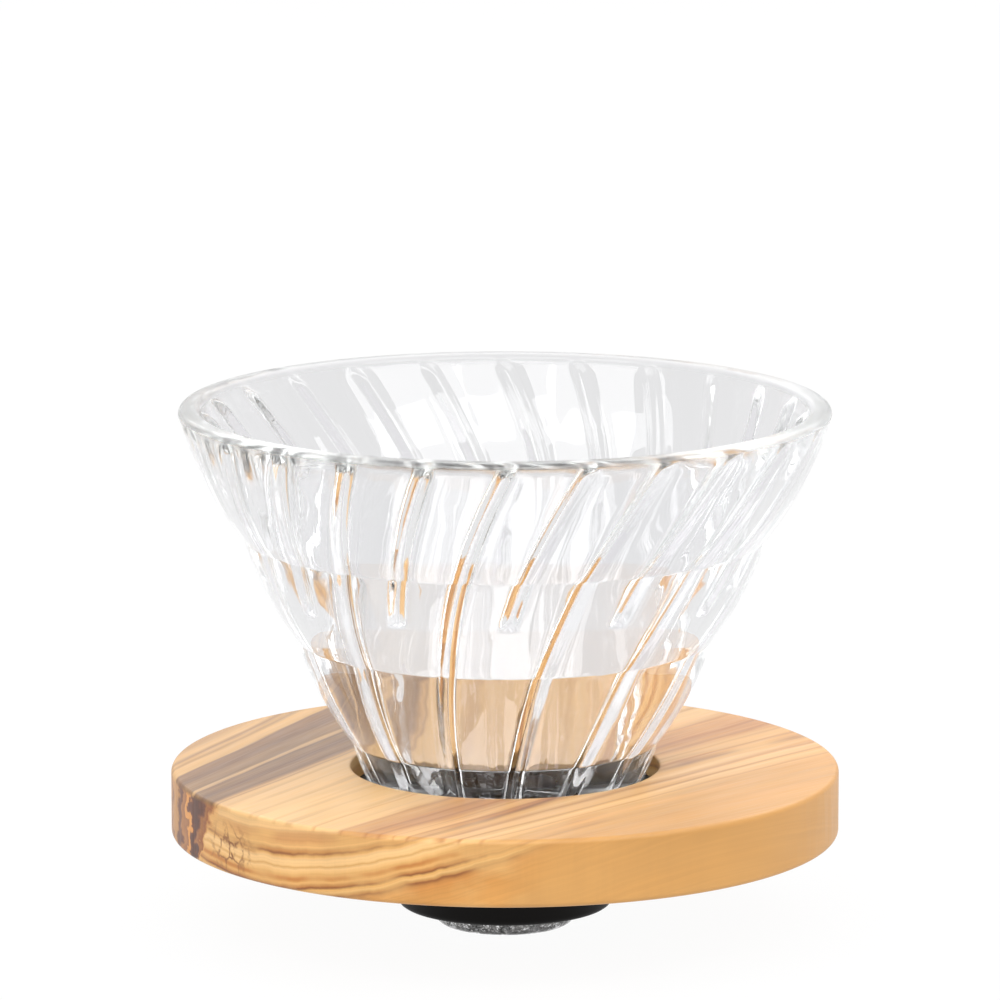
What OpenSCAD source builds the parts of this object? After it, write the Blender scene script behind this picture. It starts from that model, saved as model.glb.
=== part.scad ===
// Pour-over coffee dripper: a ribbed glass cone held in a round wooden collar.
// The cone's shoulder stands on a rubber gasket in the collar's hole, and a
// flanged ring screwed onto the glass neck from below clamps the collar to it.
// Millimetres, +Z up, origin at the centre of the spout's lower edge.

/* [Glass cone] */
// Outer diameter of the rim
rim_d = 116; // [110:0.5:124]
// Height from the spout's lower edge to the rim
cone_h = 94; // [90:0.5:100]
// Angle of the cone's inside, across the axis
cone_angle = 60; // [58:0.5:62]
// Wall thickness at the rim, measured across the axis
rim_wall = 4; // [3.2:0.1:5]
// Wall thickness at the top of the base tier, measured across the axis
base_wall = 7.7; // [6:0.1:9]
// Radius of the fire-polished rim edges
rim_round = 1.2; // [0.6:0.1:1.4]
// Height of the base tier, above the shoulder
base_h = 11.1; // [9:0.1:13]
// Height of each of the two middle tiers
tier_h = 18.6; // [16:0.2:21]
// How far the base tier swells past a straight cone
base_bulge = 0.25; // [0.1:0.05:0.6]
// How far each middle tier swells past a straight cone
tier_bulge = 0.95; // [0.3:0.05:1.5]
// How far the rim tier swells past a straight cone
rim_bulge = 1.25; // [0.5:0.05:2]

/* [Glass shoulder and spout] */
// Height of the flat shoulder above the spout's lower edge
shoulder_z = 22.5; // [22:0.1:24]
// Width of the flat shoulder, outside the neck
shoulder_w = 6.6; // [5:0.1:8]
// Radius of the shoulder's lower edge
shoulder_round = 0.8; // [0.3:0.1:1.2]
// Wall thickness of the neck at the shoulder, over its screw thread
neck_wall = 3.2; // [2.6:0.1:4]
// Height of the neck's lower end above the spout's lower edge
neck_z = 5; // [4:0.1:6]
// Wall thickness of the spout
spout_wall = 2.6; // [1.8:0.1:3.2]
// Height of the straight spout below its flare to the neck
spout_h = 3.2; // [2:0.1:3.8]
// Diameter of the outlet
outlet_d = 20; // [18:0.2:21]
// Chamfer of the spout's lower edge inside
spout_edge = 0.5; // [0.2:0.1:0.8]
// Share of the spout's lower edge that is rounded off outside
spout_lip = 0.8; // [0.5:0.05:0.9]

/* [Spiral ribs] */
// Number of long ribs, with a short one between each two
rib_count = 12; // [8:1:14]
// Turn of a rib between the outlet and the rim, in degrees
rib_turn = 31.5; // [15:0.5:45]
// How strongly that turn gathers towards the rim, where 1 is evenly spread
rib_gather = 1.7; // [1:0.1:2.2]
// Width of a rib at the rim
rib_w = 3.2; // [2.4:0.1:4]
// Width of a long rib at the outlet
rib_low_w = 2.2; // [1.6:0.1:2.6]
// Height of a rib above the wall at the rim
rib_h = 1.5; // [1:0.1:2]
// Height of a long rib above the wall at the outlet
rib_low_h = 1.1; // [0.8:0.1:1.5]
// Distance from the rim to the upper end of the ribs
rib_rim_gap = 2; // [2:0.5:6]
// Distance from the spout's lower edge to the lower end of the long ribs
rib_foot_gap = 1; // [1:0.1:4]
// Length of a short rib, measured along the axis
short_rib_h = 29; // [24:1:36]

/* [Wooden collar] */
// Diameter of the collar
collar_d = 119.4; // [110:0.2:130]
// Thickness of the collar
collar_t = 12; // [11:0.1:15]
// Radius of the collar's outer edges
collar_round = 0.9; // [0.3:0.1:2]
// Chamfer of the upper hole's edge
hole_edge = 0.4; // [0.2:0.1:0.8]
// Thickness of the ledge that carries the gasket, above the underside's recess
ledge_t = 3.5; // [3:0.1:4.5]
// Depth of the recess in the underside that centres the lock ring's flange
recess_depth = 0.6; // [0.4:0.1:1.2]

/* [Seat gasket] */
// Thickness of the gasket's floor, under the glass shoulder
gasket_t = 1.5; // [1:0.1:2]
// Height of the gasket's rim above its floor
gasket_rim_h = 2.4; // [1.5:0.1:3.5]
// Thickness of the gasket's rim at its upper edge
gasket_rim_w = 2.9; // [2:0.1:4]
// Radius of the rim's upper edges
gasket_round = 0.5; // [0.2:0.1:0.8]

/* [Lock ring] */
// Wall thickness of the lock ring's barrel
barrel_wall = 2.4; // [1.8:0.1:3.4]
// Height of the barrel's lower edge above the spout's lower edge
barrel_z = 3.5; // [2.5:0.1:4.5]
// Radius of the barrel's lower edge
barrel_round = 1; // [0.4:0.1:1.2]
// Width of the flange, outside the barrel
flange_w = 9.3; // [7:0.1:12]
// Thickness of the flange
flange_t = 3.8; // [3:0.1:5]
// Chamfer of the flange's edges
flange_edge = 0.5; // [0.3:0.1:0.9]
// Number of finger scallops round the flange
scallop_count = 18; // [12:1:24]
// Diameter of a finger scallop
scallop_d = 7; // [5:0.5:8]
// Depth of a finger scallop
scallop_depth = 1.2; // [0.6:0.1:1.6]

/* [Fits] */
// Gap between the glass and the gasket's rim
seat_gap = 0.4; // [0.3:0.05:0.6]
// Gap between the shoulder and the gasket's floor
shoulder_gap = 0.1; // [0.05:0.01:0.2]
// Gap between the neck and the gasket's bore
bore_gap = 0.4; // [0.3:0.05:0.6]
// Gap between the gasket and the collar's hole
hole_gap = 0.2; // [0.1:0.05:0.4]
// Gap between the neck's thread and the lock ring's bore
thread_gap = 0.2; // [0.15:0.01:0.3]
// Gap between the barrel and the collar's ledge
ledge_gap = 0.4; // [0.3:0.05:0.8]
// Gap between the flange and the side of its recess
recess_gap = 0.5; // [0.3:0.1:1]
// Gap between the flange and the collar, and between the barrel and the gasket
face_gap = 0.1; // [0.05:0.01:0.2]

/* [Hidden] */
$fn = 128;
arc_steps = 7;
round_steps = 4;

// Glass: radii, heights and the corners between its tiers, as [radius, height]
rim_r = rim_d / 2;
rim_z = cone_h - rim_round;
rim_inner_r = rim_r - rim_wall;
outlet_r = outlet_d / 2;
half_angle = cone_angle / 2;
outlet_h = rim_z - (rim_inner_r - outlet_r) / tan(half_angle);
base_z = shoulder_z + base_h;
spout_r = outlet_r + spout_wall;
lip_r = spout_lip * min(spout_wall - spout_edge, spout_h);
neck_r = inner_r(shoulder_z) + neck_wall;
base_start = [neck_r + shoulder_w, shoulder_z + shoulder_round];
corners = [
    base_start,
    for (i = [0:2]) let (z = base_z + i * tier_h) [inner_r(z) + wall(z), z],
    [rim_r, rim_z]];
bulges = [base_bulge, tier_bulge, tier_bulge, rim_bulge];

// Gasket: its floor lies on the collar's ledge, its rim stands round the glass
gasket_z = shoulder_z - shoulder_gap - gasket_t;
gasket_top = gasket_z + gasket_t + gasket_rim_h;
gasket_r = outer_r(gasket_top) + seat_gap + gasket_rim_w;

// Lock ring: radii, from the neck outwards
thread_r = neck_r + thread_gap;
barrel_r = thread_r + barrel_wall;
flange_r = barrel_r + flange_w;

// Collar: heights of its faces and radii of its holes
ledge_z = gasket_z;
recess_z = ledge_z - ledge_t;
collar_z = recess_z - recess_depth;
collar_top = collar_z + collar_t;
hole_r = gasket_r + hole_gap;
ledge_r = barrel_r + ledge_gap;
recess_r = flange_r + recess_gap;

// Lock ring: heights, its flange against the recess and its barrel up to the gasket
flange_top = recess_z - face_gap;
flange_z = flange_top - flange_t;
barrel_top = gasket_z - face_gap;

// Inner radius of the glass at height z, without the ribs
function inner_r(z) = outlet_r + max(0, z - outlet_h) * tan(half_angle);

// Wall thickness of the glass at a tier's corner at height z, across the axis
function wall(z) = rim_wall + (base_wall - rim_wall) * (rim_z - z) / (rim_z - base_z);

// Radius at height z of an arc from a up to b that swells outwards by bulge
function arc_r(z, a, b, bulge) =
    let (d = b - a,
         chord = norm(d),
         rho = (chord * chord / 4 + bulge * bulge) / (2 * bulge),
         centre = (a + b) / 2 - [d.y, -d.x] / chord * (rho - bulge))
    centre.x + sqrt(rho * rho - (z - centre.y) * (z - centre.y));

// Outer radius of the glass at height z, above the shoulder
function outer_r(z) =
    let (above = [for (i = [1:len(corners) - 2]) if (z > corners[i].y) i],
         i = len(above))
    arc_r(z, corners[i], corners[i + 1], bulges[i]);

// Points along one tier of the glass's outside, without its upper corner
function tier_points(i) =
    [for (k = [0:arc_steps - 1])
        let (z = corners[i].y + (corners[i + 1].y - corners[i].y) * k / arc_steps)
        [arc_r(z, corners[i], corners[i + 1], bulges[i]), z]];

// Points of a round edge about a centre, from one angle to another
function round_points(centre, r, from, to) =
    [for (i = [0:round_steps])
        let (t = from + (to - from) * i / round_steps)
        centre + r * [cos(t), sin(t)]];

// Glass wall: spout, neck, shoulder, tiered outside, rim and the plain cone inside
module glass_wall() {
    rotate_extrude()
        polygon(concat(
            [[outlet_r + spout_edge, 0]],
            round_points([spout_r - lip_r, lip_r], lip_r, -90, 0),
            [[spout_r, spout_h],
             [neck_r, neck_z],
             [neck_r, shoulder_z]],
            [[base_start.x - shoulder_round, shoulder_z]],
            [for (i = [0:len(corners) - 2]) each tier_points(i)],
            round_points([rim_r - rim_round, rim_z], rim_round, 0, 90),
            round_points([rim_inner_r + rim_round, rim_z], rim_round, 90, 180),
            [[outlet_r, outlet_h],
             [outlet_r, spout_edge]]));
}

// One spiral rib inside the cone, between two heights, at an angle from the front.
// It is swept through six-sided sections that sink into the wall at both ends.
module rib(angle, low, high) {
    root = 1;
    ring_gap = 6;
    cap = rib_w / 2;
    caps = [0, 0.35];
    steps = max(4, round((high - low) / ring_gap));
    heights = concat(
        [for (c = caps) low + cap * c],
        [for (i = [0:steps]) low + cap + (high - low - 2 * cap) * i / steps],
        [for (i = [len(caps) - 1:-1:0]) high - cap * caps[i]]);
    function turn(z) = angle - 90 + rib_turn * pow(z / cone_h, rib_gather);
    function taper(low_size, size, z) = low_size + (size - low_size) * z / cone_h;
    function swell(z) = let (end = min(z - low, high - z, cap) / cap) sqrt(max(0, end * (2 - end)));
    function section(z) =
        let (s = swell(z),
             w = taper(rib_low_w, rib_w, z) * (0.35 + 0.65 * s),
             h = taper(rib_low_h, rib_h, z) * (1.15 * s - 0.15))
        [[-0.5 * w, -root], [0.5 * w, -root], [0.42 * w, 0.5 * h],
         [0.17 * w, h], [-0.17 * w, h], [-0.42 * w, 0.5 * h]];
    function place(z, p) =
        let (lean = z > outlet_h ? half_angle : 0,
             r = inner_r(z) - p.y * cos(lean),
             t = turn(z))
        [r * cos(t) - p.x * sin(t), r * sin(t) + p.x * cos(t), z + p.y * sin(lean)];
    sides = len(section(low));
    last = len(heights) - 1;
    points = [for (z = heights, p = section(z)) place(z, p)];
    faces = concat(
        [[for (k = [0:sides - 1]) k]],
        [for (j = [0:last - 1], k = [0:sides - 1])
            let (a = j * sides + k, b = j * sides + (k + 1) % sides)
            each [[a, a + sides, b], [b, a + sides, b + sides]]],
        [[for (k = [sides - 1:-1:0]) last * sides + k]]);
    polyhedron(points, faces);
}

module glass_cone() {
    rib_top = cone_h - rib_rim_gap;
    spacing = 360 / rib_count;
    color("aliceblue", 0.4)
        union() {
            glass_wall();
            for (i = [0:rib_count - 1]) {
                rib(i * spacing, rib_foot_gap, rib_top);
                rib((i + 0.5) * spacing, rib_top - short_rib_h, rib_top);
            }
        }
}

module wood_collar() {
    edge_r = collar_d / 2 - collar_round;
    color("burlywood")
        rotate_extrude()
            polygon(concat(
                [[ledge_r, recess_z],
                 [recess_r, recess_z],
                 [recess_r, collar_z]],
                round_points([edge_r, collar_z + collar_round], collar_round, -90, 0),
                round_points([edge_r, collar_top - collar_round], collar_round, 0, 90),
                [[hole_r + hole_edge, collar_top],
                 [hole_r, collar_top - hole_edge],
                 [hole_r, ledge_z],
                 [ledge_r, ledge_z]]));
}

// Rubber cup ring: the glass stands on its floor, and its rim keeps the glass off the wood
module seat_gasket() {
    bore_r = neck_r + bore_gap;
    floor_top = gasket_z + gasket_t;
    rim_foot_r = outer_r(base_start.y) + seat_gap;
    rim_inside_r = outer_r(gasket_top) + seat_gap;
    color("dimgray")
        rotate_extrude()
            polygon(concat(
                [[bore_r, gasket_z],
                 [gasket_r, gasket_z]],
                round_points([gasket_r - gasket_round, gasket_top - gasket_round], gasket_round, 0, 90),
                [[rim_inside_r, gasket_top],
                 [rim_foot_r, floor_top],
                 [bore_r, floor_top]]));
}

// Screw ring: a scalloped flange against the collar on a barrel that screws onto the neck
module lock_ring() {
    color("darkslategray")
        difference() {
            rotate_extrude()
                polygon(concat(
                    [[thread_r, barrel_z]],
                    round_points([barrel_r - barrel_round, barrel_z + barrel_round], barrel_round, -90, 0),
                    [[barrel_r, flange_z],
                     [flange_r - flange_edge, flange_z],
                     [flange_r, flange_z + flange_edge],
                     [flange_r, flange_top - flange_edge],
                     [flange_r - flange_edge, flange_top],
                     [barrel_r, flange_top],
                     [barrel_r, barrel_top],
                     [thread_r, barrel_top]]));
            for (i = [0:scallop_count - 1])
                rotate(i * 360 / scallop_count)
                    translate([flange_r + scallop_d / 2 - scallop_depth, 0, flange_z - flange_t])
                        cylinder(d = scallop_d, h = 3 * flange_t, $fn = 32);
        }
}

glass_cone();
wood_collar();
seat_gasket();
lock_ring();
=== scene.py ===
import math

import bpy
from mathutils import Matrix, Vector


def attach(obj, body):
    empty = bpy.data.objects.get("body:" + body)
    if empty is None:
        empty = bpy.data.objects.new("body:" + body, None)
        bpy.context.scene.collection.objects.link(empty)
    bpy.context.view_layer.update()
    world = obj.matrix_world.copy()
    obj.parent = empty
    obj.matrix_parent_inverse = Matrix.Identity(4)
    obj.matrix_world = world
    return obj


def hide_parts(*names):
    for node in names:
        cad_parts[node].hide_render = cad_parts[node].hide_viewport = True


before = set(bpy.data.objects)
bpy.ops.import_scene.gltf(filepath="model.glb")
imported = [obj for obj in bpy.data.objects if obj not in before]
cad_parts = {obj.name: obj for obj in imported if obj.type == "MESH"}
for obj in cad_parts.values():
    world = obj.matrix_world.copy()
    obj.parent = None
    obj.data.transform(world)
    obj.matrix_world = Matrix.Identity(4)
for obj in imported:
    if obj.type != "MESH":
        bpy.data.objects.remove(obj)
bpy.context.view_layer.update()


# Glass cone: one piece of borosilicate glass, pressed between a tiered mould and a plunger that
# leaves the spiral ribs inside, then fire-polished. Its shoulder stands in the gasket, and the
# thread on its neck takes the lock ring. Sizes are in millimetres until a point is placed.
MM = 0.001
CONE_H = 94.0
OUTLET_R = 10.0
OUTLET_TOP = 16.59
OUTLET_BLEND = 1.0
CONE_LEAN = math.radians(30)
CONE_SLOPE = math.tan(CONE_LEAN)
HOLLOW = 1.15
HOLLOW_FOOT, HOLLOW_Z, HOLLOW_TOP, HOLLOW_BLEND = 19.5, 30.5, 56.0, 6.0
LIP_Z = 0.4
SPOUT_R = 12.6
NECK_R = 16.61
NECK_ROOT_R = 15.6
NECK_FOOT, NECK_STEP, NECK_RINGS = 5.4, 0.4, 33
NECK_WIDENS = (17.2, 18.4)
SHOULDER_Z = 22.5
RIM_R = 58.0
RIM_INNER_R = 54.0
RIM_Z = 92.8
RIM_ROUND = 1.2
TIERS = [
    # lower corner, upper corner, swelling past a straight line, points
    ((23.21, 23.3), (27.52, 33.6), 0.25, 7),
    ((27.52, 33.6), (37.10, 52.2), 0.95, 12),
    ((37.10, 52.2), (46.67, 70.8), 0.95, 12),
    ((46.67, 70.8), (RIM_R, RIM_Z), 1.25, 14),
]
TIER_ROUND = 1.6
# Corners of the outside as radius, height and rounding: the spout's lip and the step out to the neck,
# then the neck's top, the flat shoulder and the foot of the lowest tier
SPOUT_PATH = [
    (OUTLET_R, LIP_Z, 0), (OUTLET_R + 0.5, 0.0, 0.3), (SPOUT_R, 0.0, 1.7), (SPOUT_R, 3.2, 0.8),
    (NECK_ROOT_R, 4.7, 0.6), (NECK_ROOT_R, 5.2, 0),
]
SHOULDER_PATH = [
    (NECK_R, 18.6, 0), (NECK_R, SHOULDER_Z, 0.5), (18.5, SHOULDER_Z, 0), (20.5, SHOULDER_Z, 0),
    (22.45, SHOULDER_Z, 0.7), (23.1, 23.1, 0),
]
LONG_RIBS = 12
RIB_TURN = math.radians(31.5)
RIB_GATHER = 1.7
RIB_TOP = 93.6
RIB_FADE = 3.2
LONG_RIB_FOOT = 1.0
SHORT_RIB_FOOT = 62.0
RIB_CAP = 2.2
# Half width and height of a rib at the outlet, and what each gains on the way up to the rim
RIB_HALF_W, RIB_WIDENS = 1.1, 0.5
RIB_H, RIB_RISES = 1.1, 0.4
SHORT_RIB_LIMIT = math.radians(3.8)
# Half of a rib's section: distance from its middle in half widths, and height
RIB_SECTION = [(0, 1), (0.25, 0.93), (0.5, 0.74), (0.75, 0.47), (1.0, 0.2), (1.2, 0.05), (1.4, 0)]
GAP_COLUMNS = 3
# Stretches of the inside from the rim down, with the distance between their rings: close together
# where a rib ends and where the cone turns into the outlet
INSIDE_STRETCHES = [
    (RIM_Z - 0.5, RIM_Z - 3, 0.5),
    (RIM_Z - 3, SHORT_RIB_FOOT + RIB_CAP, 1.25),
    (SHORT_RIB_FOOT + RIB_CAP, SHORT_RIB_FOOT - 0.4, 0.3),
    (SHORT_RIB_FOOT - 0.4, OUTLET_TOP + OUTLET_BLEND, 1.4),
    (OUTLET_TOP + OUTLET_BLEND, OUTLET_TOP - OUTLET_BLEND, 0.5),
    (OUTLET_TOP - OUTLET_BLEND, LONG_RIB_FOOT + RIB_CAP, 1.5),
    (LONG_RIB_FOOT + RIB_CAP, LIP_Z, 0.4),
]
THREAD_PITCH = 4.0
THREAD_H = 1.0
THREAD_SHARPNESS = 1.5
THREAD_START, THREAD_END = (5.2, 6.6), (16.2, 18.2)


def ease(x, low, high):
    """Rises smoothly from 0 at low to 1 at high."""
    t = min(1.0, max(0.0, (x - low) / (high - low)))
    return t * t * (3 - 2 * t)


def cone_radius(z):
    """Inside radius between the ribs: a straight cone, slightly hollowed where the wall is thickest."""
    above = max(0.0, HOLLOW_TOP + HOLLOW_BLEND - z)
    if above < 2 * HOLLOW_BLEND:
        hollow = above**2 / (4 * HOLLOW_BLEND)
    else:
        hollow = HOLLOW_TOP - z
    hollow *= HOLLOW / (HOLLOW_TOP - HOLLOW_Z) * ease(z, HOLLOW_FOOT, HOLLOW_Z)
    return OUTLET_R + max(0.0, z - OUTLET_TOP) * CONE_SLOPE + hollow


def arc(start, end, bulge, steps):
    """Points from start up to end, without end, on an arc that swells outwards by bulge."""
    start, end = Vector(start), Vector(end)
    along = end - start
    out = Vector((along.y, -along.x)).normalized()
    radius = (along.length_squared / 4 + bulge * bulge) / (2 * bulge)
    centre = (start + end) / 2 - out * (radius - bulge)
    points = []
    for k in range(steps):
        z = start.y + along.y * k / steps
        points.append((centre.x + math.sqrt(radius**2 - (z - centre.y) ** 2), z))
    return points


def rounded(path, steps=4):
    """A profile of (radius, height, rounding) corners as points. An open one has sharp ends."""
    points = []
    for i, (r, z, rounding) in enumerate(path):
        if not rounding:
            points.append((r, z))
            continue
        corner = Vector((r, z))
        back = (Vector(path[i - 1][:2]) - corner).normalized()
        ahead = (Vector(path[(i + 1) % len(path)][:2]) - corner).normalized()
        turn = math.pi - back.angle(ahead)
        centre = corner + (back + ahead).normalized() * rounding / math.cos(turn / 2)
        first = corner + back * rounding * math.tan(turn / 2) - centre
        last = corner + ahead * rounding * math.tan(turn / 2) - centre
        for k in range(steps + 1):
            t = k / steps
            spoke = (first * math.sin((1 - t) * turn) + last * math.sin(t * turn)) / math.sin(turn)
            points.append(tuple(centre + spoke))
    return points


def spread(top, bottom, step):
    """Heights from top down to bottom, without bottom, about step apart."""
    count = max(1, round((top - bottom) / step))
    return [top + (bottom - top) * k / count for k in range(count)]


def rib_swell(z, foot):
    """How full a rib is at height z: 1 along it, falling to 0 in a half-round end."""
    end = min(1.0, max(0.0, (z - foot) / RIB_CAP))
    return math.sqrt(end * (2 - end)) * ease(RIB_TOP - z, 0, RIB_FADE)


def thread_ridge(angle, z):
    """Height of a right-hand thread's rounded ridge, from 0 to 1."""
    phase = z / THREAD_PITCH - angle / (2 * math.pi)
    return ((1 + math.cos(2 * math.pi * phase)) / 2) ** THREAD_SHARPNESS


neck_heights = [NECK_FOOT + NECK_STEP * k for k in range(NECK_RINGS)]
outside = rounded(SPOUT_PATH) + [(NECK_ROOT_R, z) for z in neck_heights] + rounded(SHOULDER_PATH)
tier_path = []
for lower, upper, bulge, steps in TIERS:
    points = arc(lower, upper, bulge, steps)
    tier_path += [(*points[0], TIER_ROUND if lower != TIERS[0][0] else 0)]
    tier_path += [(r, z, 0) for r, z in points[1:]]
outside += rounded(tier_path)
rim = [
    (RIM_R - RIM_ROUND + RIM_ROUND * math.cos(t), RIM_Z + RIM_ROUND * math.sin(t))
    for t in (math.radians(a) for a in range(0, 91, 15))
]
rim += [((RIM_R + RIM_INNER_R) / 2, RIM_Z + RIM_ROUND)]
rim += [(RIM_R + RIM_INNER_R - r, z) for r, z in reversed(rim[:-1])]
inside_heights = [z for stretch in INSIDE_STRETCHES for z in spread(*stretch)]
rings = [(r, z, "neck" if z in neck_heights and r == NECK_ROOT_R else "outside") for r, z in outside]
rings += [(r, z, "rim") for r, z in rim]
rings += [(cone_radius(z), z, "inside") for z in inside_heights]
section = [(-u, h) for u, h in reversed(RIB_SECTION[1:])] + RIB_SECTION
sector_columns = len(section) + GAP_COLUMNS
sector = math.pi / LONG_RIBS


def glass_point(column, ring):
    """Where a point of the flat sheet goes: round the axis, along the ribs' spiral, up on a rib."""
    r, z, part = rings[ring]
    number, place = divmod(column, sector_columns)
    foot = LONG_RIB_FOOT if number % 2 == 0 else SHORT_RIB_FOOT
    swell = rib_swell(z, foot)
    along = z / CONE_H
    edge = RIB_SECTION[-1][0]
    half = (RIB_HALF_W + RIB_WIDENS * along) / cone_radius(min(z, RIM_Z))
    halves = half, min(half, SHORT_RIB_LIMIT)
    mine, other = halves[number % 2], halves[1 - number % 2]
    if place < len(section):
        across, height = section[place]
        offset = across * mine
    else:
        height = 0
        start, end = edge * mine, sector - edge * other
        offset = start + (end - start) * (place - len(section) + 1) / (GAP_COLUMNS + 1)
    angle = number * sector + offset - math.pi / 2 + RIB_TURN * along**RIB_GATHER
    if part == "inside" or part == "rim" and r < RIM_INNER_R + RIM_ROUND:
        lean = CONE_LEAN * ease(z, OUTLET_TOP - OUTLET_BLEND, OUTLET_TOP + OUTLET_BLEND)
        height *= (RIB_H + RIB_RISES * along) * swell
        r -= height * math.cos(lean)
        z += height * math.sin(lean)
    if part == "neck":
        r += THREAD_H * thread_ridge(angle, z) * ease(z, *THREAD_START) * (1 - ease(z, *THREAD_END))
        r += (NECK_R - NECK_ROOT_R) * ease(z, *NECK_WIDENS)
        r = min(r, NECK_R)
    return r * math.cos(angle) * MM, r * math.sin(angle) * MM, z * MM


def wrapped_sheet(name, columns, ring_count, place):
    """A flat grid wrapped round the axis, its last ring closed onto its first.

    The hand tools can't draw a spiral or a screw thread, so the points are placed one by one.
    """
    bpy.ops.object.select_all(action="DESELECT")
    bpy.ops.mesh.primitive_grid_add(x_subdivisions=columns, y_subdivisions=ring_count, size=1)
    piece = bpy.context.object
    piece.name = piece.data.name = name
    points = []
    for ring in range(ring_count + 1):
        for column in range(columns + 1):
            points.extend(place(column % columns, ring % ring_count))
    piece.data.vertices.foreach_set("co", points)
    bpy.ops.object.mode_set(mode="EDIT")
    bpy.ops.mesh.select_all(action="SELECT")
    bpy.ops.mesh.remove_doubles(threshold=1e-7)
    bpy.ops.mesh.normals_make_consistent(inside=False)
    bpy.ops.object.mode_set(mode="OBJECT")
    bpy.ops.object.shade_smooth()
    return piece


glass = wrapped_sheet("dripper_glass", 2 * LONG_RIBS * sector_columns, len(rings), glass_point)


def linear(code):
    """An sRGB hex colour as linear red, green, blue and alpha."""
    parts = [int(code[i : i + 2], 16) / 255 for i in (1, 3, 5)]
    return (*[c / 12.92 if c <= 0.04045 else ((c + 0.055) / 1.055) ** 2.4 for c in parts], 1.0)


def add(tree, kind, inputs=None, **settings):
    """Adds one node: its settings, then each input as a value or as a link from a socket."""
    node = tree.nodes.new("ShaderNode" + kind)
    for name, value in settings.items():
        setattr(node, name, value)
    for socket, value in (inputs or {}).items():
        if isinstance(value, bpy.types.NodeSocket):
            tree.links.new(value, node.inputs[socket])
        else:
            node.inputs[socket].default_value = value
    return node


# The sockets of a mix of two colours
SHARE, FIRST, SECOND, MIXED = 0, 6, 7, 2


def new_material(name):
    """An empty node material and its tree."""
    material = bpy.data.materials.new(name)
    material.use_nodes = True
    material.node_tree.nodes.clear()
    return material, material.node_tree


# Clear borosilicate glass, pressed and fire-polished: the mould's chill leaves slow ripples about
# 14 mm long that bend what is seen through it, and upright draw lines 1.6 mm apart low down, where
# the glass was last to set. The spout is stippled, with grains 0.5 mm across; under the black ring it
# is coloured dark grey between the grains as painted shade, which leaves white specks on the grains.
# The seat under the shoulder is ground and the rim slightly soft, so both are dull. Thick places show a
# trace of grey-green.
glass_material, tree = new_material("borosilicate_glass_pressed")
place = add(tree, "TexCoord")
ripple = add(tree, "TexNoise", {"Vector": place.outputs["Object"], "Scale": 1 / 0.014, "Detail": 1.5})
draw_scale = (1 / 0.0016, 1 / 0.0016, 1 / 0.03)
draw_at = add(tree, "Mapping", {"Vector": place.outputs["Object"], "Scale": draw_scale})
draw_lines = add(
    tree, "TexNoise", {"Vector": draw_at.outputs[0], "Scale": 1.0, "Detail": 1.0, "Distortion": 0.6}
)
heights = add(tree, "SeparateXYZ", {0: place.outputs["Object"]})
low_down = add(
    tree,
    "MapRange",
    {"Value": heights.outputs["Z"], "From Min": 0.028, "From Max": 0.044, "To Min": 0.1, "To Max": 0.012},
)
relief = add(
    tree,
    "Math",
    {0: draw_lines.outputs["Fac"], 1: low_down.outputs["Result"], 2: ripple.outputs["Fac"]},
    operation="MULTIPLY_ADD",
)
stipple = add(tree, "TexNoise", {"Vector": place.outputs["Object"], "Scale": 1 / 0.0005, "Detail": 1.0})
on_spout = add(
    tree,
    "MapRange",
    {"Value": heights.outputs["Z"], "From Min": 0.0036, "From Max": 0.005, "To Min": 1.1, "To Max": 0.0},
)
relief = add(
    tree,
    "Math",
    {0: stipple.outputs["Fac"], 1: on_spout.outputs["Result"], 2: relief.outputs[0]},
    operation="MULTIPLY_ADD",
)
bump = add(tree, "Bump", {"Height": relief.outputs[0], "Strength": 0.25, "Distance": 0.0006})
seat = add(tree, "Math", {0: heights.outputs["Z"], 1: SHOULDER_Z * MM, 2: 0.0007}, operation="COMPARE")
lip = add(
    tree,
    "MapRange",
    {"Value": heights.outputs["Z"], "From Min": 0.0915, "From Max": 0.093, "To Max": 0.28},
)
dull = add(tree, "Math", {0: seat.outputs[0], 1: 0.55, 2: lip.outputs["Result"]}, operation="MULTIPLY_ADD")
# Painted shade of the black ring on the spout: dark grey between the stipple grains, none on the grains
painted_shade_between_grains = add(
    tree,
    "MapRange",
    {"Value": stipple.outputs["Fac"], "From Min": 0.52, "From Max": 0.6, "To Min": 0.9, "To Max": 0.0},
)
painted_spout_shade = add(
    tree,
    "Math",
    {0: painted_shade_between_grains.outputs["Result"], 1: on_spout.outputs["Result"]},
    operation="MULTIPLY",
)
tint_and_painted_shade = add(
    tree,
    "Mix",
    {SHARE: painted_spout_shade.outputs[0], FIRST: linear("#FAFAFB"), SECOND: linear("#605E5C")},
    data_type="RGBA",
)
surface = add(
    tree,
    "BsdfPrincipled",
    {
        "Base Color": tint_and_painted_shade.outputs[MIXED],
        "Roughness": dull.outputs[0],
        "IOR": 1.473,
        "Transmission Weight": 1.0,
        "Normal": bump.outputs["Normal"],
    },
)
depth_tint = add(tree, "VolumeAbsorption", {"Color": linear("#EDF3EE"), "Density": 3.0})
add(
    tree,
    "OutputMaterial",
    {"Surface": surface.outputs["BSDF"], "Volume": depth_tint.outputs["Volume"]},
)
glass.data.materials.append(glass_material)
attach(glass, "glass")
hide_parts("glass_cone")


# Wooden collar: a disc turned from one plank of olive wood, sanded and oiled. Its stepped hole takes
# the gasket from above and the lock ring's barrel from below, and it is the part that is held.
COLLAR_R = 59.7
COLLAR_Z = 16.8
COLLAR_TOP = 28.8
HOLE_R = 27.63
LEDGE_R = 19.61
LEDGE_Z = 20.9
RECESS_R = 29.01
RECESS_Z = 17.4
COLLAR_ROUND = 0.9
HOLE_ROUND = 0.4
RECESS_ROUND = 0.25
COLLAR_SIDES = 240
GUARD = 1.1
NEAR = 0.01
SMOOTH_BELOW = 40


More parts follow.
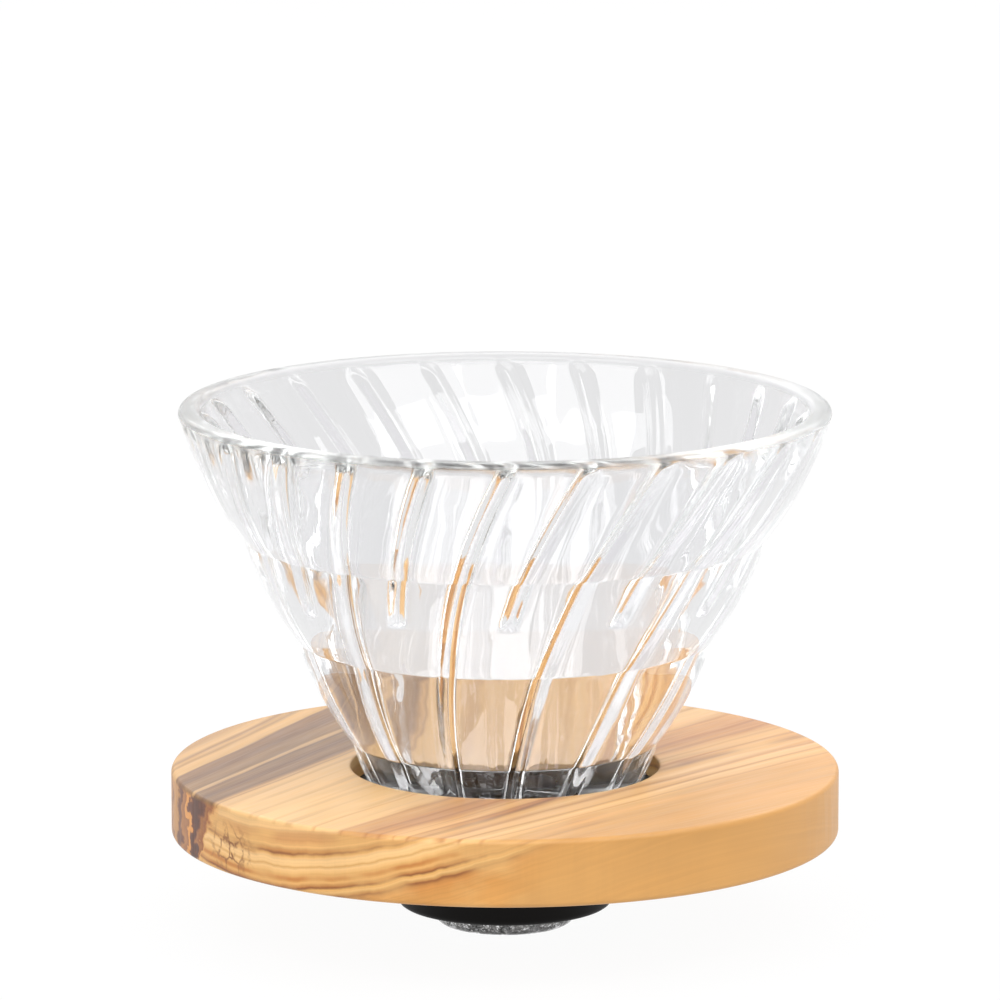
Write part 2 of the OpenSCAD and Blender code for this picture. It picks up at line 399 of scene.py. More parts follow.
def disc(name, radius, low, high, sides):
    """A solid disc on the axis, in edit mode with nothing selected."""
    bpy.ops.object.select_all(action="DESELECT")
    bpy.ops.mesh.primitive_cylinder_add(
        vertices=sides, radius=radius * MM, depth=(high - low) * MM, location=(0, 0, (low + high) / 2 * MM)
    )
    bpy.ops.object.transform_apply(location=True, rotation=True, scale=True)
    piece = bpy.context.object
    piece.name = piece.data.name = name
    bpy.ops.object.mode_set(mode="EDIT")
    bpy.ops.mesh.select_all(action="DESELECT")
    return piece


def pick(piece, kind, test):
    """Selects only the faces or edges whose points all pass test(radius, height)."""
    bpy.ops.mesh.select_all(action="DESELECT")
    bpy.ops.mesh.select_mode(type="FACE" if kind == "polygons" else "EDGE")
    bpy.ops.object.mode_set(mode="OBJECT")
    corners = piece.data.vertices
    fits = [test(math.hypot(v.co.x, v.co.y) / MM, v.co.z / MM) for v in corners]
    for part in getattr(piece.data, kind):
        part.select = all(fits[v] for v in part.vertices)
    bpy.ops.object.mode_set(mode="EDIT")


def step_in(piece, height, from_r, to_r, deep):
    """Insets the round face at a height from one radius to another, then sinks it by deep."""
    pick(piece, "polygons", lambda r, z: abs(z - height) < NEAR and r < from_r + NEAR)
    bpy.ops.mesh.inset(thickness=(from_r - to_r) * MM, use_even_offset=True)
    if deep:
        bpy.ops.mesh.extrude_region_move(TRANSFORM_OT_translate={"value": (0, 0, deep * MM)})


def open_bore(piece, radius, low, high):
    """Deletes the two round faces that close a bore, and joins their edges with a wall."""
    pick(piece, "polygons", lambda r, z: r < radius + NEAR and min(abs(z - low), abs(z - high)) < NEAR)
    bpy.ops.mesh.delete(type="FACE")
    pick(piece, "edges", lambda r, z: abs(r - radius) < NEAR and min(abs(z - low), abs(z - high)) < NEAR)
    bpy.ops.mesh.bridge_edge_loops()


def round_edge(piece, radius, height, size, segments):
    """Rounds the circular edge at a radius and height."""
    pick(piece, "edges", lambda r, z: abs(r - radius) < NEAR and abs(z - height) < NEAR)
    bpy.ops.mesh.bevel(offset=size * MM, segments=segments, profile=0.5, affect="EDGES")


def guard(piece, test):
    """Insets a band of faces a little, so that the rounding of its edges doesn't shade its middle."""
    pick(piece, "polygons", test)
    bpy.ops.mesh.inset(thickness=GUARD * MM, use_even_offset=True)


def close_piece():
    """Merges doubles, turns the faces outwards and leaves edit mode with smooth shading."""
    bpy.ops.mesh.select_all(action="SELECT")
    bpy.ops.mesh.remove_doubles(threshold=1e-6)
    bpy.ops.mesh.normals_make_consistent(inside=False)
    bpy.ops.object.mode_set(mode="OBJECT")
    bpy.ops.object.shade_smooth_by_angle(angle=math.radians(SMOOTH_BELOW))


collar = disc("olive_wood_collar", COLLAR_R, COLLAR_Z, COLLAR_TOP, COLLAR_SIDES)
step_in(collar, COLLAR_TOP, COLLAR_R, HOLE_R, LEDGE_Z - COLLAR_TOP)
step_in(collar, LEDGE_Z, HOLE_R, LEDGE_R, 0)
step_in(collar, COLLAR_Z, COLLAR_R, RECESS_R, RECESS_Z - COLLAR_Z)
step_in(collar, RECESS_Z, RECESS_R, LEDGE_R, 0)
open_bore(collar, LEDGE_R, RECESS_Z, LEDGE_Z)
guard(collar, lambda r, z: abs(z - COLLAR_TOP) < NEAR)
guard(collar, lambda r, z: abs(z - COLLAR_Z) < NEAR)
guard(collar, lambda r, z: abs(r - COLLAR_R) < NEAR)
round_edge(collar, COLLAR_R, COLLAR_TOP, COLLAR_ROUND, 5)
round_edge(collar, COLLAR_R, COLLAR_Z, COLLAR_ROUND, 5)
round_edge(collar, HOLE_R, COLLAR_TOP, HOLE_ROUND, 3)
round_edge(collar, RECESS_R, COLLAR_Z, RECESS_ROUND, 2)
close_piece()

# Olive wood, turned and oiled, satin: honey wood with thin dark growth lines and grey-brown heartwood.
# The growth layers lie nearly flat in the plank and rise to the right, so they show as long streaks on
# the top and shallow lines on the side. Left of a small burl the heartwood stands upright as dark bands.
# The grain fans out from a point 270 mm away in front on the left. All distances are in millimetres.
wood_material, tree = new_material("olive_wood_oiled")
GRAIN_X, GRAIN_Y = -153.0, -223.0
GRAIN_FAR = math.hypot(GRAIN_X, GRAIN_Y)
GRAIN_TURN = math.radians(55.5)
place = add(tree, "TexCoord")
in_mm = add(tree, "VectorMath", {0: place.outputs["Object"], 1: (1000, 1000, 1000)}, operation="MULTIPLY")
from_fan = add(tree, "VectorMath", {0: in_mm.outputs[0], 1: (GRAIN_X, GRAIN_Y, 0)}, operation="SUBTRACT")
parts = add(tree, "SeparateXYZ", {0: from_fan.outputs[0]})
fan_turn = add(tree, "Math", {0: parts.outputs["Y"], 1: parts.outputs["X"]}, operation="ARCTAN2")
across = add(tree, "Math", {0: fan_turn.outputs[0], 1: GRAIN_TURN}, operation="SUBTRACT")
across = add(tree, "Math", {0: across.outputs[0], 1: GRAIN_FAR}, operation="MULTIPLY")
flat = add(tree, "VectorMath", {0: from_fan.outputs[0], 1: (1, 1, 0)}, operation="MULTIPLY")
along = add(tree, "VectorMath", {0: flat.outputs[0]}, operation="LENGTH")
grain = add(tree, "CombineXYZ", {0: across.outputs[0], 1: along.outputs["Value"], 2: parts.outputs["Z"]})
# The layers wander: slowly, 24 mm across the grain and 90 mm along it, and in two finer ways. Each has
# its length across and along the grain, and how far it reaches to either side
WANDERINGS = [
    (24, 90, (2.0, 0, 1.2)),
    (5, 30, (0.8, 0, 0.35)),
    (2.2, 25, (0.45, 0, 0.12)),
]
layer_at = grain
for across_mm, along_mm, reach in WANDERINGS:
    wander_scale = (1 / across_mm, 1 / along_mm, 1 / across_mm)
    swing = tuple(2 * r for r in reach)
    wander_at = add(tree, "Mapping", {"Vector": grain.outputs[0], "Scale": wander_scale})
    wander = add(tree, "TexNoise", {"Vector": wander_at.outputs[0], "Scale": 1.0, "Detail": 2.0})
    wander = add(tree, "VectorMath", {0: wander.outputs["Color"], 1: (0.5, 0.5, 0.5)}, operation="SUBTRACT")
    wander = add(tree, "VectorMath", {0: wander.outputs[0], 1: swing}, operation="MULTIPLY")
    layer_at = add(tree, "VectorMath", {0: layer_at.outputs[0], 1: wander.outputs[0]}, operation="ADD")
layer_at = add(tree, "SeparateXYZ", {0: layer_at.outputs[0]})
# Flat layers, by height where they are lowest, 16 mm left of the middle of the plank
VALLEY, VALLEY_R = 16.0, 147.0
SAPWOOD = [
    (-4, "#D69D57"), (4, "#D29851"), (9, "#D6994F"), (13, "#D5954A"), (14.6, "#CB8841"),
    (15.3, "#95582A"), (15.5, "#C58846"), (16.1, "#EAB872"), (16.6, "#E2A95E"), (17, "#824A20"),
    (17.25, "#B47438"), (18, "#E8B066"), (18.4, "#CA8A44"), (18.8, "#BC7A3A"), (19.4, "#E6B068"),
    (20.3, "#EFC080"), (20.7, "#DEA962"), (21, "#EFC080"), (22, "#F0C284"), (22.5, "#E0A860"),
    (22.9, "#864E26"), (23.3, "#C28444"), (24, "#E0AC6A"), (25.1, "#CA9256"), (26.3, "#CF9A60"),
    (27, "#E2B478"), (28, "#E4B87C"), (30, "#D9AB6C"),
]
from_valley = add(tree, "Math", {0: layer_at.outputs["X"], 1: VALLEY}, operation="SUBTRACT")
rise = add(tree, "Math", {0: from_valley.outputs[0], 1: 2.0}, operation="POWER")
layer = add(
    tree,
    "Math",
    {0: rise.outputs[0], 1: -0.5 / VALLEY_R, 2: layer_at.outputs["Z"]},
    operation="MULTIPLY_ADD",
)
# Upright heartwood bands, by distance across the grain, the first one a wedge that thins downwards
BAND_EDGE, BAND_W, BAND_LEAN = 39.7, 8.7, 0.6
HEARTWOOD = [
    (26, "#DDB072"), (28.6, "#D2A466"), (29, "#A87C4A"), (29.6, "#C89A60"), (30.4, "#9A7044"),
    (30.9, "#7C5835"), (33, "#8E6A42"), (35, "#755234"), (37.5, "#8A673F"), (38.8, "#765434"),
    (39.2, "#B48C5C"), (39.8, "#C09864"), (40.3, "#82603C"), (43, "#977248"), (45, "#7A5636"),
    (48, "#8E673F"), (48.9, "#805A38"), (49.5, "#CEA062"), (52, "#D2A466"), (53, "#AE824C"),
    (54, "#CA9C60"), (55, "#A2784A"), (56, "#CEA268"), (59, "#B68A56"), (62, "#CEA066"),
]
# The same bands in the end grain, which drinks more oil: dark brown with an orange line
END_GRAIN = [
    (28, "#E6AE66"), (29.6, "#C08448"), (30.6, "#96592C"), (33, "#A46A34"), (34.6, "#703C20"),
    (36, "#542C1A"), (39, "#5C321E"), (40.2, "#723F22"), (40.6, "#DC9444"), (41.8, "#E29C4C"),
    (42.4, "#9A6030"), (44.5, "#B4783E"), (45.4, "#6E3C20"), (47, "#784626"), (48, "#BC823E"),
    (50.5, "#C68C48"), (51.5, "#8A562E"), (53, "#C08642"),
]
deep = add(tree, "Math", {0: COLLAR_TOP, 1: parts.outputs["Z"]}, operation="SUBTRACT")
band_w = add(tree, "Math", {0: deep.outputs[0], 1: -BAND_LEAN, 2: BAND_W}, operation="MULTIPLY_ADD")
widen = add(tree, "Math", {0: BAND_W, 1: band_w.outputs[0]}, operation="DIVIDE")
below_top = add(tree, "MapRange", {"Value": deep.outputs[0], "From Min": 0.4, "From Max": 1.0})
# Below the top the bands have ragged edges, 4 mm across, that stray up to 2.2 mm
RAGGED = 2.2
ragged_at = add(tree, "Mapping", {"Vector": grain.outputs[0], "Scale": (1 / 4, 1 / 20, 1 / 3)})
ragged = add(tree, "TexNoise", {"Vector": ragged_at.outputs[0], "Scale": 1.0, "Detail": 3.0})
ragged = add(
    tree,
    "MapRange",
    {
        "Value": ragged.outputs["Fac"],
        "From Min": 0.25,
        "From Max": 0.75,
        "To Min": -RAGGED,
        "To Max": RAGGED,
    },
)
band_x = add(
    tree,
    "Math",
    {0: ragged.outputs["Result"], 1: below_top.outputs["Result"], 2: layer_at.outputs["X"]},
    operation="MULTIPLY_ADD",
)
to_edge = add(tree, "Math", {0: BAND_EDGE, 1: band_x.outputs[0]}, operation="SUBTRACT")
before_edge = add(tree, "Math", {0: to_edge.outputs[0], 1: 0.0}, operation="MAXIMUM")
past_edge = add(tree, "Math", {0: to_edge.outputs[0], 1: 0.0}, operation="MINIMUM")
from_edge = add(
    tree,
    "Math",
    {0: before_edge.outputs[0], 1: widen.outputs[0], 2: past_edge.outputs[0]},
    operation="MULTIPLY_ADD",
)
band_at = add(tree, "Math", {0: BAND_EDGE, 1: from_edge.outputs[0]}, operation="SUBTRACT")
# Thin brown lines that run the whole length of the top, by distance across the grain, as a tint
TOP_LINES = [
    (-37.2, "#FFFFFF"), (-36.8, "#E8DACA"), (-36.2, "#FFFFFF"), (-33.9, "#FFFFFF"), (-33.2, "#DCC6B0"),
    (-32.6, "#F6EFE8"), (-30.8, "#F8F2EC"), (-30, "#D2B89C"), (-29.3, "#E6D6C4"), (-28.2, "#FFFFFF"),
    (-24, "#FFFFFF"), (-23.2, "#E2D0BC"), (-22.5, "#FFFFFF"), (-20.4, "#FFFFFF"), (-20, "#ECE0D2"),
    (-19.4, "#FFFFFF"), (-17.6, "#F4EAE0"), (-17, "#DCC8B2"), (-16.2, "#F6EFE8"), (-14.6, "#F2E8DC"),
    (-14, "#DCC8B4"), (-13, "#F6EEE6"), (-8.6, "#F2E8DC"), (-7.8, "#DECBB8"), (-7, "#FFFFFF"),
    (-1.2, "#FFFFFF"), (-0.8, "#E8DACA"), (0, "#FFFFFF"),
]
ramps = []
for distance, stops in (
    (layer, SAPWOOD), (band_at, HEARTWOOD), (band_at, END_GRAIN), (layer_at, TOP_LINES)
):
    low, high = stops[0][0], stops[-1][0]
    at = add(tree, "MapRange", {"Value": distance.outputs[0], "From Min": low, "From Max": high})
    ramp = add(tree, "ValToRGB", {"Fac": at.outputs["Result"]})
    while len(ramp.color_ramp.elements) < len(stops):
        ramp.color_ramp.elements.new(1.0)
    for element, (at_mm, code) in zip(ramp.color_ramp.elements, stops):
        element.position = (at_mm - low) / (high - low)
        element.color = linear(code)
    ramps.append(ramp)
sapwood, heartwood, end_grain, top_lines = ramps
# A growth line comes and goes along its length, and all of them fade out towards the right, where the
# plank is plain from further left at the back than in front
PLAIN_FROM, PLAIN_LEAN = 225, 0.1
patch_at = add(tree, "Mapping", {"Vector": grain.outputs[0], "Scale": (1 / 11, 1 / 26, 1 / 5)})
patches = add(tree, "TexNoise", {"Vector": patch_at.outputs[0], "Scale": 1.0, "Detail": 2.0})
paler = add(
    tree,
    "MapRange",
    {"Value": patches.outputs["Fac"], "From Min": 0.42, "From Max": 0.66, "To Min": 0.0, "To Max": 0.8},
)
lines = add(
    tree,
    "Mix",
    {SHARE: paler.outputs["Result"], FIRST: sapwood.outputs["Color"], SECOND: linear("#DFAC68")},
    data_type="RGBA",
    blend_type="LIGHTEN",
)
past_front = add(
    tree,
    "Math",
    {0: along.outputs["Value"], 1: PLAIN_LEAN, 2: -PLAIN_FROM * PLAIN_LEAN},
    operation="MULTIPLY_ADD",
)
to_right = add(tree, "Math", {0: past_front.outputs[0], 1: layer_at.outputs["X"]}, operation="SUBTRACT")
plain = add(
    tree,
    "MapRange",
    {"Value": to_right.outputs[0], "From Min": 38, "From Max": 49, "To Max": 0.88},
    interpolation_type="SMOOTHSTEP",
)
colour = add(
    tree,
    "Mix",
    {SHARE: plain.outputs["Result"], FIRST: lines.outputs[MIXED], SECOND: linear("#D29B55")},
    data_type="RGBA",
)
# Thin tan streaks where the top face cuts the uppermost layers at a slant
streak_at = add(tree, "Mapping", {"Vector": grain.outputs[0], "Scale": (1 / 3.2, 1 / 80, 1 / 7)})
streaks = add(tree, "TexNoise", {"Vector": streak_at.outputs[0], "Scale": 1.0, "Detail": 2.0})
streaks = add(
    tree,
    "MapRange",
    {"Value": streaks.outputs["Fac"], "From Min": 0.53, "From Max": 0.64, "To Max": 0.45},
)
on_top = add(tree, "Math", {0: 1.0, 1: below_top.outputs["Result"]}, operation="SUBTRACT")
uppermost = add(tree, "MapRange", {"Value": layer.outputs[0], "From Min": 24.5, "From Max": 26.5})
streaks = add(
    tree,
    "Math",
    {0: streaks.outputs["Result"], 1: uppermost.outputs["Result"]},
    operation="MULTIPLY",
)
streaks = add(tree, "Math", {0: streaks.outputs[0], 1: on_top.outputs[0]}, operation="MULTIPLY")
colour = add(
    tree,
    "Mix",
    {SHARE: streaks.outputs[0], FIRST: colour.outputs[MIXED], SECOND: linear("#B98A52")},
    data_type="RGBA",
)
colour = add(
    tree,
    "Mix",
    {SHARE: on_top.outputs[0], FIRST: colour.outputs[MIXED], SECOND: top_lines.outputs["Color"]},
    data_type="RGBA",
    blend_type="MULTIPLY",
)
in_bands = add(
    tree,
    "MapRange",
    {"Value": band_at.outputs[0], "From Min": 26.5, "From Max": 29.5},
    interpolation_type="SMOOTHSTEP",
)
bands = add(
    tree,
    "Mix",
    {
        SHARE: below_top.outputs["Result"],
        FIRST: heartwood.outputs["Color"],
        SECOND: end_grain.outputs["Color"],
    },
    data_type="RGBA",
)
colour = add(
    tree,
    "Mix",
    {SHARE: in_bands.outputs["Result"], FIRST: colour.outputs[MIXED], SECOND: bands.outputs[MIXED]},
    data_type="RGBA",
)
# Soft clouds 12 mm wide, fibres 0.5 mm wide and thin growth layers, 0.9 and 0.3 mm thick, that follow
# the lines and are calmer where the plank is plain. Each has its darkest and lightest shade
CALMED = 0.7
layers_at = add(tree, "CombineXYZ", {0: layer.outputs[0], 1: along.outputs["Value"], 2: 0.0})
calm = add(tree, "Math", {0: plain.outputs["Result"], 1: -CALMED, 2: 1.0}, operation="MULTIPLY_ADD")
shades = []
for source, scale, low, high, share in (
    (grain, (1 / 12, 1 / 50, 1 / 12), 0.83, 0.94, 1.0),
    (grain, (1 / 0.5, 1 / 14, 1 / 14), 0.985, 1.015, 1.0),
    (layers_at, (1 / 0.9, 1 / 60, 1), 0.92, 1.06, calm.outputs[0]),
    (layers_at, (1 / 0.3, 1 / 45, 1), 0.95, 1.04, calm.outputs[0]),
):
    shade_at = add(tree, "Mapping", {"Vector": source.outputs[0], "Scale": scale})
    shade = add(tree, "TexNoise", {"Vector": shade_at.outputs[0], "Scale": 1.0, "Detail": 2.0})
    factor = add(
        tree,
        "MapRange",
        {"Value": shade.outputs["Fac"], "From Min": 0.3, "From Max": 0.7, "To Min": low, "To Max": high},
    )
    colour = add(
        tree,
        "Mix",
        {SHARE: share, FIRST: colour.outputs[MIXED], SECOND: factor.outputs["Result"]},
        data_type="RGBA",
        blend_type="MULTIPLY",
    )
    shades.append(shade.outputs["Fac"])
fibres = shades[1]
# A small burl low on the left of the front, crossed by broken dark cracks about 3 mm apart
BURL, BURL_REACH = (-48.0, -35.2, 21.5), (7, 7, 4.5)
burl_at = add(tree, "VectorMath", {0: in_mm.outputs[0], 1: BURL}, operation="SUBTRACT")
burl_scale = tuple(1 / reach for reach in BURL_REACH)
burl_at = add(tree, "VectorMath", {0: burl_at.outputs[0], 1: burl_scale}, operation="MULTIPLY")
burl_far = add(tree, "VectorMath", {0: burl_at.outputs[0]}, operation="LENGTH")
burl = add(
    tree,
    "MapRange",
    {"Value": burl_far.outputs["Value"], "From Min": 0.3, "From Max": 1.2, "To Min": 1.0, "To Max": 0.0},
)
stir = add(tree, "TexNoise", {"Vector": in_mm.outputs[0], "Scale": 0.6, "Detail": 3.0})
stirred = add(tree, "VectorMath", {0: stir.outputs["Color"], 1: (1.6, 1.6, 1.6)}, operation="MULTIPLY")
crack_at = add(tree, "VectorMath", {0: in_mm.outputs[0], 1: stirred.outputs[0]}, operation="ADD")
cracks = add(
    tree, "TexVoronoi", {"Vector": crack_at.outputs[0], "Scale": 1 / 3}, feature="DISTANCE_TO_EDGE"
)
cracks = add(
    tree,
    "MapRange",
    {"Value": cracks.outputs["Distance"], "From Min": 0.02, "From Max": 0.12, "To Min": 1.0, "To Max": 0.0},
)
broken = add(tree, "MapRange", {"Value": stir.outputs["Fac"], "From Min": 0.36, "From Max": 0.5})
cracked = add(
    tree, "Math", {0: cracks.outputs["Result"], 1: broken.outputs["Result"]}, operation="MULTIPLY"
)
cracked = add(tree, "Math", {0: cracked.outputs[0], 1: burl.outputs["Result"]}, operation="MULTIPLY")
colour = add(
    tree,
    "Mix",
    {SHARE: cracked.outputs[0], FIRST: colour.outputs[MIXED], SECOND: linear("#7E4E28")},
    data_type="RGBA",
)
satin = add(
    tree, "MapRange", {"Value": fibres, "From Min": 0.3, "From Max": 0.7, "To Min": 0.36, "To Max": 0.48}
)
bump = add(tree, "Bump", {"Height": fibres, "Strength": 0.12, "Distance": 0.0001})
surface = add(
    tree,
    "BsdfPrincipled",
    {
        "Base Color": colour.outputs[MIXED],
        "Roughness": satin.outputs["Result"],
        "IOR": 1.5,
        "Specular IOR Level": 0.5,
        "Normal": bump.outputs["Normal"],
    },
)
add(tree, "OutputMaterial", {"Surface": surface.outputs["BSDF"]})
collar.data.materials.append(wood_material)
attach(collar, "collar")
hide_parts("wood_collar")


# Seat gasket: a cup ring of black silicone, moulded in one piece. Its floor lies on the collar's ledge
# under the glass shoulder, and its rim keeps the glass off the wood.
GASKET_R = 27.43
GASKET_TOP = 24.8
GASKET_FLOOR = 22.4
GASKET_BORE_R = 17.01
CUP_TOP_R = 24.53
CUP_FLOOR_R = 23.61
GASKET_ROUND = 0.5
CUP_ROUND = 0.3
GASKET_SIDES = 192

gasket = disc("silicone_gasket", GASKET_R, LEDGE_Z, GASKET_TOP, GASKET_SIDES)
step_in(gasket, GASKET_TOP, GASKET_R, CUP_TOP_R, GASKET_FLOOR - GASKET_TOP)
shrink = CUP_FLOOR_R / CUP_TOP_R
bpy.ops.transform.resize(value=(shrink, shrink, 1), center_override=(0, 0, GASKET_FLOOR * MM))
step_in(gasket, GASKET_FLOOR, CUP_FLOOR_R, GASKET_BORE_R, 0)
step_in(gasket, LEDGE_Z, GASKET_R, GASKET_BORE_R, 0)
open_bore(gasket, GASKET_BORE_R, LEDGE_Z, GASKET_FLOOR)
round_edge(gasket, GASKET_R, GASKET_TOP, GASKET_ROUND, 4)
round_edge(gasket, CUP_TOP_R, GASKET_TOP, CUP_ROUND, 3)
close_piece()

# Black silicone rubber, moulded with a fine matte face: soft grain about 0.3 mm across, no gloss
silicone_material, tree = new_material("silicone_rubber_moulded")
place = add(tree, "TexCoord")
grit = add(tree, "TexNoise", {"Vector": place.outputs["Object"], "Scale": 1 / 0.0003, "Detail": 1.0})
shade = add(tree, "MapRange", {"Value": grit.outputs["Fac"], "To Min": 0.55, "To Max": 0.75})
bump = add(tree, "Bump", {"Height": grit.outputs["Fac"], "Strength": 0.2, "Distance": 0.00005})
surface = add(
    tree,
    "BsdfPrincipled",
    {
        "Base Color": linear("#111111"),
        "Roughness": shade.outputs["Result"],
        "IOR": 1.41,
        "Normal": bump.outputs["Normal"],
    },
)
add(tree, "OutputMaterial", {"Surface": surface.outputs["BSDF"]})
gasket.data.materials.append(silicone_material)
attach(gasket, "collar")
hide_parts("seat_gasket")


# Lock ring: a flanged ring moulded in black polypropylene, with finger scallops round its flange and
# a screw thread in its bore. It is screwed up the glass neck until its flange clamps the collar.
BORE_R = 16.81
BARREL_R = 19.21
BARREL_Z = 3.5
BARREL_TOP = 20.8
FLANGE_R = 28.51
FLANGE_Z = 13.5
FLANGE_TOP = 17.3
SCALLOPS = 18
SCALLOP_R = 3.5
SCALLOP_DEPTH = 1.2
SCALLOP_FADE = (24.0, 27.0)
FLANGE_INNER_R, FLANGE_MIDDLE_R = 22.0, 25.0
FLANGE_MIDDLE_Z = 15.4
BORE_START, BORE_STEP, BORE_RINGS = 0.5, 0.41, 40
RING_THREAD_H = 0.9
RING_THREAD_START, RING_THREAD_END = (4.2, 5.6), (15.2, 16.8)
RING_COLUMNS = 360

bore_heights = [BARREL_TOP - BORE_START - BORE_STEP * k for k in range(BORE_RINGS)]
ring_path = rounded(
    [
        (BORE_R, BARREL_Z, 0.5), (BARREL_R, BARREL_Z, 1.0), (BARREL_R, FLANGE_Z, 0.6),
        (FLANGE_INNER_R, FLANGE_Z, 0), (FLANGE_MIDDLE_R, FLANGE_Z, 0), (FLANGE_R, FLANGE_Z, 0.5),
        (FLANGE_R, FLANGE_MIDDLE_Z, 0), (FLANGE_R, FLANGE_TOP, 0.5), (FLANGE_MIDDLE_R, FLANGE_TOP, 0),
        (FLANGE_INNER_R, FLANGE_TOP, 0), (BARREL_R, FLANGE_TOP, 0.2), (BARREL_R, BARREL_TOP, 0.4),
        (BORE_R, BARREL_TOP, 0.4),
    ]
)
ring_path += [(BORE_R, z) for z in bore_heights]


def lock_ring_point(column, ring):
    """Where a point goes: in at a finger scallop, and in the bore up on the thread."""
    r, z = ring_path[ring]
    angle = 2 * math.pi * column / RING_COLUMNS
    if r > SCALLOP_FADE[0]:
        away = math.remainder(angle, 2 * math.pi / SCALLOPS)
        centre = FLANGE_R + SCALLOP_R - SCALLOP_DEPTH
        inside = SCALLOP_R**2 - (centre * math.sin(away)) ** 2
        if inside > 0:
            cut = FLANGE_R - (centre * math.cos(away) - math.sqrt(inside))
            r -= max(0.0, cut) * ease(r, *SCALLOP_FADE)
    if r == BORE_R and z in bore_heights:
        # The ridge lies in the valley of the neck's thread
        between = 1 - thread_ridge(angle, z) ** (1 / THREAD_SHARPNESS)
        run = ease(z, *RING_THREAD_START) * (1 - ease(z, *RING_THREAD_END))
        r -= RING_THREAD_H * between**2 * run
    return r * math.cos(angle) * MM, r * math.sin(angle) * MM, z * MM


lock_ring = wrapped_sheet("lock_ring_moulded", RING_COLUMNS, len(ring_path), lock_ring_point)

# Black polypropylene, moulded in a finely spark-eroded tool: grain of 0.25 mm with a dull sheen
plastic_material, tree = new_material("polypropylene_moulded_matte")
place = add(tree, "TexCoord")
grit = add(tree, "TexNoise", {"Vector": place.outputs["Object"], "Scale": 1 / 0.00025, "Detail": 2.0})
shade = add(tree, "MapRange", {"Value": grit.outputs["Fac"], "To Min": 0.38, "To Max": 0.55})
bump = add(tree, "Bump", {"Height": grit.outputs["Fac"], "Strength": 0.25, "Distance": 0.00005})
surface = add(
    tree,
    "BsdfPrincipled",
    {
        "Base Color": linear("#080605"),
        "Roughness": shade.outputs["Result"],
        "IOR": 1.49,
        "Specular IOR Level": 0.12,
        "Normal": bump.outputs["Normal"],
    },
)
add(tree, "OutputMaterial", {"Surface": surface.outputs["BSDF"]})
lock_ring.data.materials.append(plastic_material)
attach(lock_ring, "lock_ring")
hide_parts("lock_ring")


# Studio: a white acrylic light table that glows evenly, as under glassware, with three soft boxes in
# an arc over the camera, one overhead and one behind, in a white room that is dimmer in front. Seen
# through the glass, table and room are a light grey, although the ground beside it is cleared to white.
bpy.ops.object.select_all(action="DESELECT")
bpy.ops.mesh.primitive_circle_add(vertices=96, radius=5.0, fill_type="NGON")
floor = bpy.context.object
floor.name = "light_table"
table_material, tree = new_material("white_acrylic_light_table")
place = add(tree, "TexCoord")
cloud = add(tree, "TexNoise", {"Vector": place.outputs["Object"], "Scale": 4.0})
white = add(tree, "MapRange", {"Value": cloud.outputs["Fac"], "To Min": 0.95, "To Max": 0.96})
rays = add(tree, "LightPath")
through = rays.outputs["Is Transmission Ray"]
ground = add(tree, "MapRange", {"Value": through, "To Min": 1.0, "To Max": 0.82})
glow = add(tree, "Math", {0: white.outputs["Result"], 1: ground.outputs["Result"]}, operation="MULTIPLY")
surface = add(
    tree,
    "BsdfPrincipled",
    {
        "Base Color": linear("#343434"),
        "Roughness": 0.6,
        "Specular IOR Level": 0.0,
        "Emission Color": (1.0, 1.0, 1.0, 1.0),
        "Emission Strength": glow.outputs[0],
    },
)
add(tree, "OutputMaterial", {"Surface": surface.outputs["BSDF"]})
floor.data.materials.append(table_material)

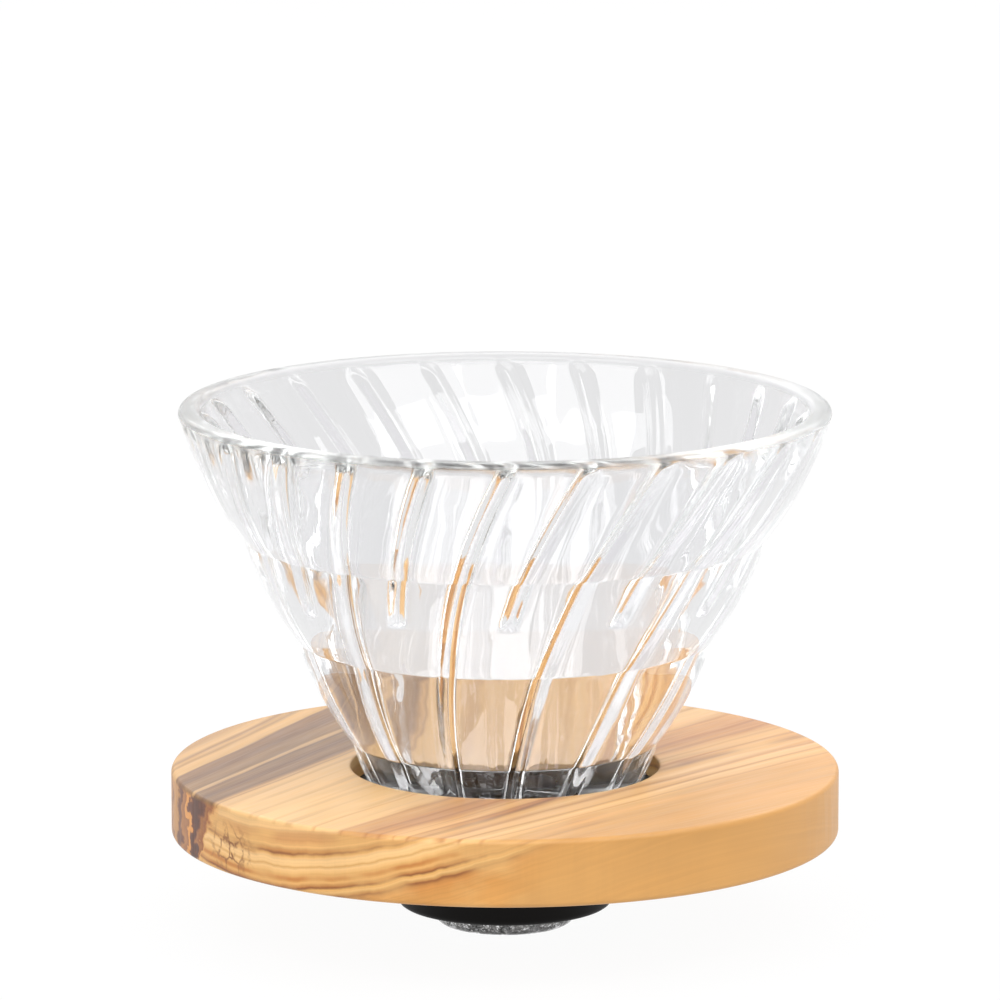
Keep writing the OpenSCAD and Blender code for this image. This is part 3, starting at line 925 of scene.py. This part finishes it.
world = bpy.data.worlds.new("white_studio")
bpy.context.scene.world = world
world.use_nodes = True
tree = world.node_tree
tree.nodes.clear()
place = add(tree, "TexCoord")
sides = add(tree, "SeparateXYZ", {0: place.outputs["Generated"]})
front = add(
    tree,
    "MapRange",
    {"Value": sides.outputs["Y"], "From Min": -0.5, "From Max": 0.4, "To Min": 0.6, "To Max": 0.95},
)
rays = add(tree, "LightPath")
through = rays.outputs["Is Transmission Ray"]
room = add(tree, "MapRange", {"Value": through, "To Min": 1.0, "To Max": 0.9})
lit = add(tree, "Math", {0: front.outputs["Result"], 1: room.outputs["Result"]}, operation="MULTIPLY")
sky = add(tree, "Background", {"Color": linear("#FBFAFC"), "Strength": lit.outputs[0]})
add(tree, "OutputWorld", {"Surface": sky.outputs["Background"]})


BOX_AIM = Vector((0, 0, 0.06))
BOX_FAR = 1.06
BOX_TURN = 48


def soft_box(name, location, width, height, brightness):
    """A rectangular soft box at a location in metres, turned towards the dripper."""
    bpy.ops.object.select_all(action="DESELECT")
    bpy.ops.object.light_add(type="AREA", location=location)
    lamp = bpy.context.object
    lamp.name = name
    lamp.data.shape = "RECTANGLE"
    lamp.data.size, lamp.data.size_y = width, height
    lamp.data.energy = brightness * math.pi * width * height
    lamp.rotation_euler = (BOX_AIM - Vector(location)).to_track_quat("-Z", "Y").to_euler()


for name, turn in (("box_left", -BOX_TURN), ("box_middle", 0), ("box_right", BOX_TURN)):
    turn = math.radians(turn)
    soft_box(name, (BOX_FAR * math.sin(turn), -BOX_FAR * math.cos(turn), BOX_FAR), 0.86, 0.6, 4.4)
soft_box("box_overhead", (0.0, 0.85, 1.45), 2.6, 1.6, 1.3)
soft_box("box_behind", (0.0, 1.3, 0.8), 1.4, 0.6, 1.0)

CAMERA_FAR = 1.350
CAMERA_EL = math.radians(10.75)
CAMERA_AIM = Vector((-0.0009, 0.0, 0.07685))
bpy.ops.object.select_all(action="DESELECT")
bpy.ops.object.camera_add()
camera = bpy.context.object
camera.name = "photo_camera"
camera.location = CAMERA_AIM + CAMERA_FAR * Vector((0, -math.cos(CAMERA_EL), math.sin(CAMERA_EL)))
camera.rotation_euler = (math.pi / 2 - CAMERA_EL, 0, 0)
camera.data.sensor_width = 36.0
camera.data.lens = 273.3
camera.data.clip_start = 0.05
bpy.context.scene.camera = camera
bpy.context.scene.view_settings.view_transform = "Standard"
# Light crosses several glass walls and is reflected inside the ribs before it leaves
bpy.context.scene.cycles.max_bounces = 32
bpy.context.scene.cycles.glossy_bounces = 24
bpy.context.scene.cycles.transmission_bounces = 24
